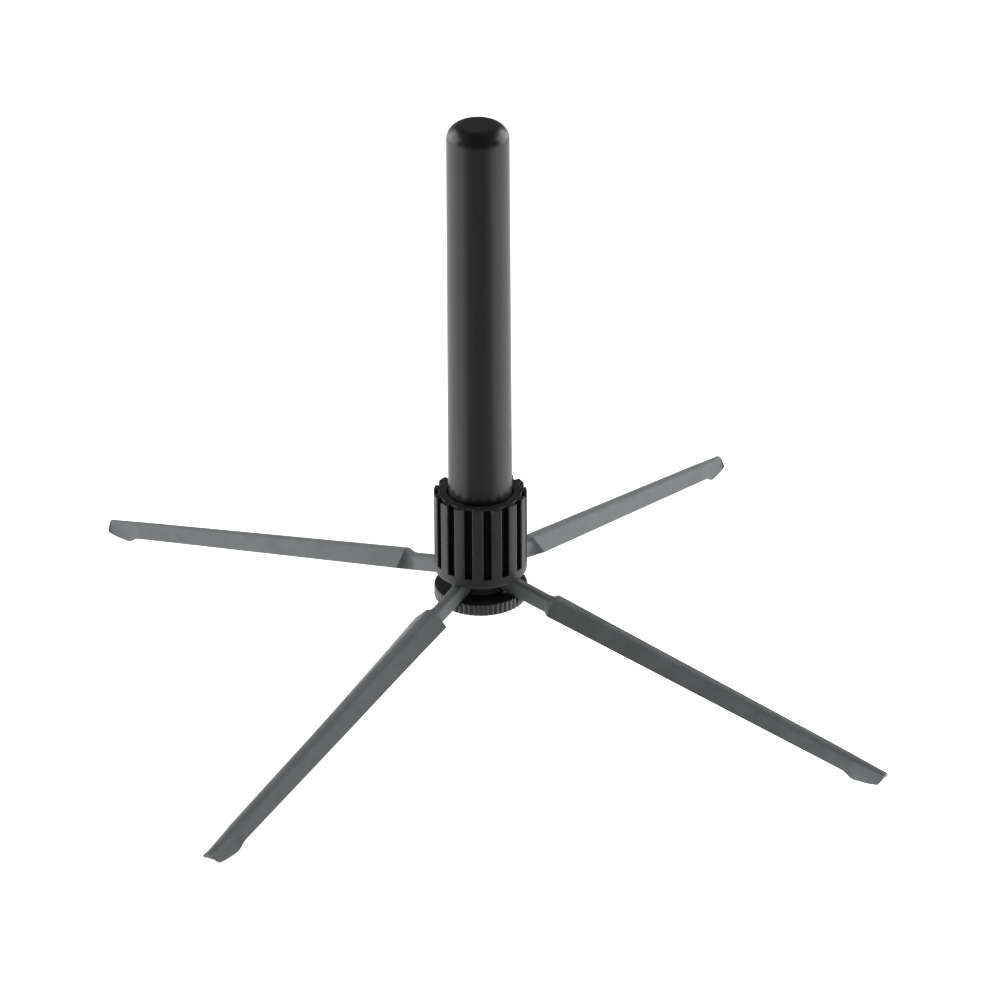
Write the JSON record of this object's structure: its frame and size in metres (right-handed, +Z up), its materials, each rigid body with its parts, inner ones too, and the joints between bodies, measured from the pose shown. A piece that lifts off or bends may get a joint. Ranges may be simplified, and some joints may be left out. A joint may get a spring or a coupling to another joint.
{
  "type": "folding trumpet stand",
  "caption": "Folding in-bell stand: a round-topped hollow peg on a ribbed collar and disc, with pressed sheet-metal legs that fold up inside the peg.",
  "frame": {"origin": "on the ground under the peg's axis", "axes": "+Z up along the peg; the legs lie along +X, +Y, -X and -Y"},
  "size_m": [0.362, 0.362, 0.2259],
  "materials": {
    "peg_plastic": "satin black moulded plastic with faint upright draw marks",
    "collar_plastic": "satin black moulded plastic",
    "hub_plastic": "black moulded plastic, slightly glossy",
    "leg_paint": "satin black powder coat on sheet steel",
    "bright_steel": "zinc-plated steel"
  },
  "bodies": {
    "base": {"base_disc": "hub_plastic", "threaded_core": "hub_plastic", "centre_screw": "bright_steel", "screw_washer": "bright_steel", "hinge_pin_1": "bright_steel", "hinge_pin_2": "bright_steel", "hinge_pin_3": "bright_steel", "hinge_pin_4": "bright_steel"},
    "peg": {"peg_tube": "peg_plastic"},
    "collar": {"ribbed_collar": "collar_plastic"},
    "folding_leg_1": {"leg_1": "leg_paint"},
    "folding_leg_2": {"leg_2": "leg_paint"},
    "folding_leg_3": {"leg_3": "leg_paint"},
    "folding_leg_4": {"leg_4": "leg_paint"}
  },
  "joints": [
    {"name": "peg_lift", "type": "slide", "parent": "base", "child": "peg", "axis": [0, 0, 1], "range_m": [0, 0.19]},
    {"name": "collar_turn", "type": "hinge", "parent": "peg", "child": "collar", "pos_m": [0, 0, 0.03802], "axis": [0, 0, 1], "range_deg": [0, 1440]},
    {"name": "leg_fold_1", "type": "hinge", "parent": "base", "child": "folding_leg_1", "pos_m": [0.00709, 0, 0.03629], "axis": [0, -1, 0], "range_deg": [0, 102]},
    {"name": "leg_fold_2", "type": "hinge", "parent": "base", "child": "folding_leg_2", "pos_m": [0, 0.00709, 0.03629], "axis": [1, 0, 0], "range_deg": [0, 102]},
    {"name": "leg_fold_3", "type": "hinge", "parent": "base", "child": "folding_leg_3", "pos_m": [-0.00709, 0, 0.03629], "axis": [0, 1, 0], "range_deg": [0, 102]},
    {"name": "leg_fold_4", "type": "hinge", "parent": "base", "child": "folding_leg_4", "pos_m": [0, -0.00709, 0.03629], "axis": [-1, 0, 0], "range_deg": [0, 102]}
  ],
  "couplings": [
    {"joint": "leg_fold_1", "follows": "peg_lift", "rad_per_m": 9.3613},
    {"joint": "leg_fold_2", "follows": "peg_lift", "rad_per_m": 9.3613},
    {"joint": "leg_fold_3", "follows": "peg_lift", "rad_per_m": 9.3613},
    {"joint": "leg_fold_4", "follows": "peg_lift", "rad_per_m": 9.3613}
  ]
}
